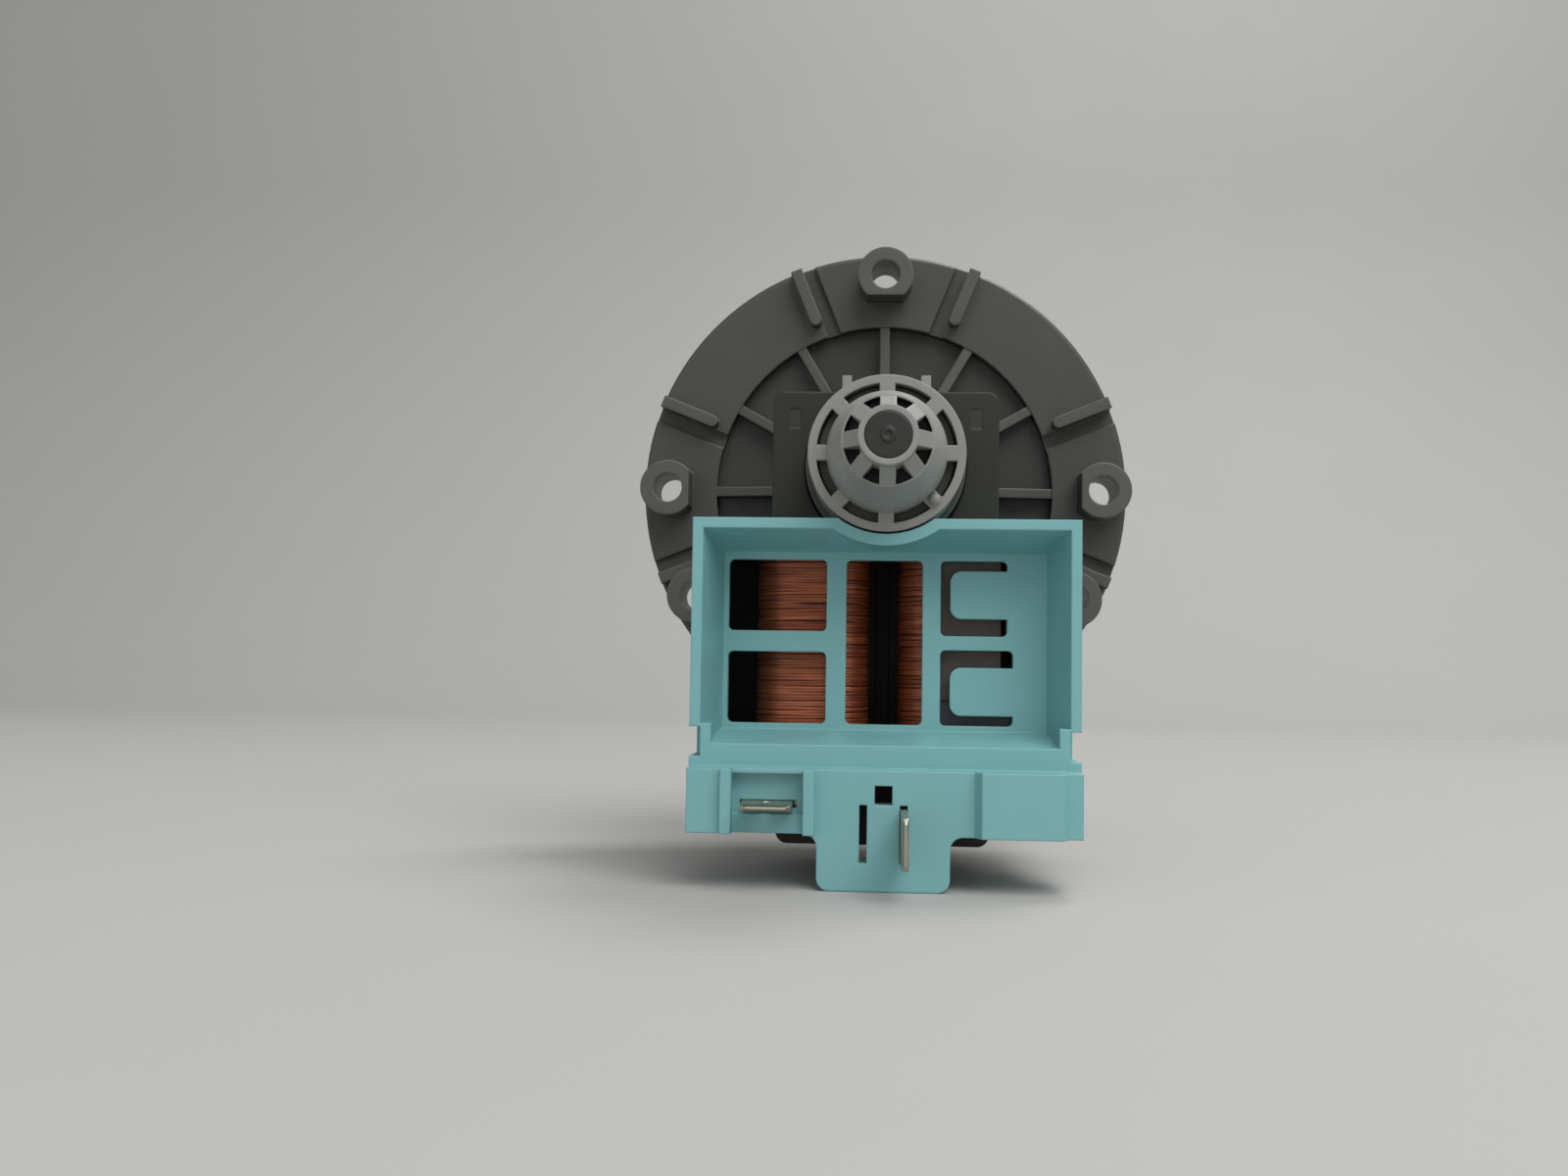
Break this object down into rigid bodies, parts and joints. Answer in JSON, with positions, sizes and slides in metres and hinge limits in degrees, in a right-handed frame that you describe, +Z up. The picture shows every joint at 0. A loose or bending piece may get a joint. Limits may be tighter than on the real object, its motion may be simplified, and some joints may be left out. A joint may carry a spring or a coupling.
{
  "type": "washing machine drain pump",
  "caption": "Drain pump motor with a round eyelet flange, a closed rotor tube, twin coils under a windowed cover with blade terminals, and a vaned impeller in front of the flange.",
  "frame": {"origin": "on the rotor axis at the flange's mounting face, the centre of the screw circle", "axes": "+Y along the rotor axis from the motor towards the impeller, +Z up away from the coils, +X to the right seen from the motor side"},
  "size_m": [0.076, 0.0736, 0.0935],
  "materials": {
    "housing_plastic": "moulded dark grey plastic",
    "retainer_plastic": "moulded light grey plastic",
    "core_steel": "varnished steel sheets",
    "yoke_steel": "bare steel sheets",
    "coil_tape": "varnished cloth tape",
    "cover_plastic": "moulded light blue plastic",
    "bobbin_plastic": "black moulded plastic",
    "copper_wire": "enamelled copper",
    "tinned_brass": "tinned",
    "seal_rubber": "black rubber",
    "bearing_bronze": "sintered",
    "magnet_ferrite": "pressed ferrite",
    "shaft_steel": "ground",
    "impeller_plastic": "moulded off-white plastic"
  },
  "bodies": {
    "motor": {"motor_housing": "housing_plastic", "flange_seal": "seal_rubber", "left_pole": "core_steel", "right_pole": "core_steel", "stator_yoke": "yoke_steel", "coil_tape": "coil_tape", "left_bobbin": "bobbin_plastic", "right_bobbin": "bobbin_plastic", "left_coil": "copper_wire", "right_coil": "copper_wire", "left_winding": "copper_wire", "right_winding": "copper_wire", "coil_cover": "cover_plastic", "side_terminal": "tinned_brass", "centre_terminal": "tinned_brass", "thermal_cutout": "bobbin_plastic", "coil_link_wire": "copper_wire", "stator_retainer": "retainer_plastic", "rear_bearing": "bearing_bronze", "rear_bearing_cup": "seal_rubber", "front_bearing": "bearing_bronze", "front_bearing_holder": "housing_plastic", "holder_seal": "seal_rubber", "shaft_seal": "seal_rubber"},
    "rotor": {"rotor_magnet": "magnet_ferrite", "rotor_sleeve": "bobbin_plastic", "rotor_shaft": "shaft_steel", "rear_thrust_washer": "bearing_bronze", "front_thrust_washer": "bearing_bronze", "drive_dog": "retainer_plastic"},
    "impeller": {"impeller": "impeller_plastic", "impeller_cap": "impeller_plastic", "drive_damper": "seal_rubber"}
  },
  "joints": [
    {"name": "rotor_spin", "type": "hinge", "parent": "motor", "child": "rotor", "pos_m": [0, 0, 0], "axis": [0, 1, 0], "continuous": true},
    {"name": "impeller_slip", "type": "hinge", "parent": "rotor", "child": "impeller", "pos_m": [0, 0, 0], "axis": [0, 1, 0], "range_deg": [-108, 108]}
  ]
}
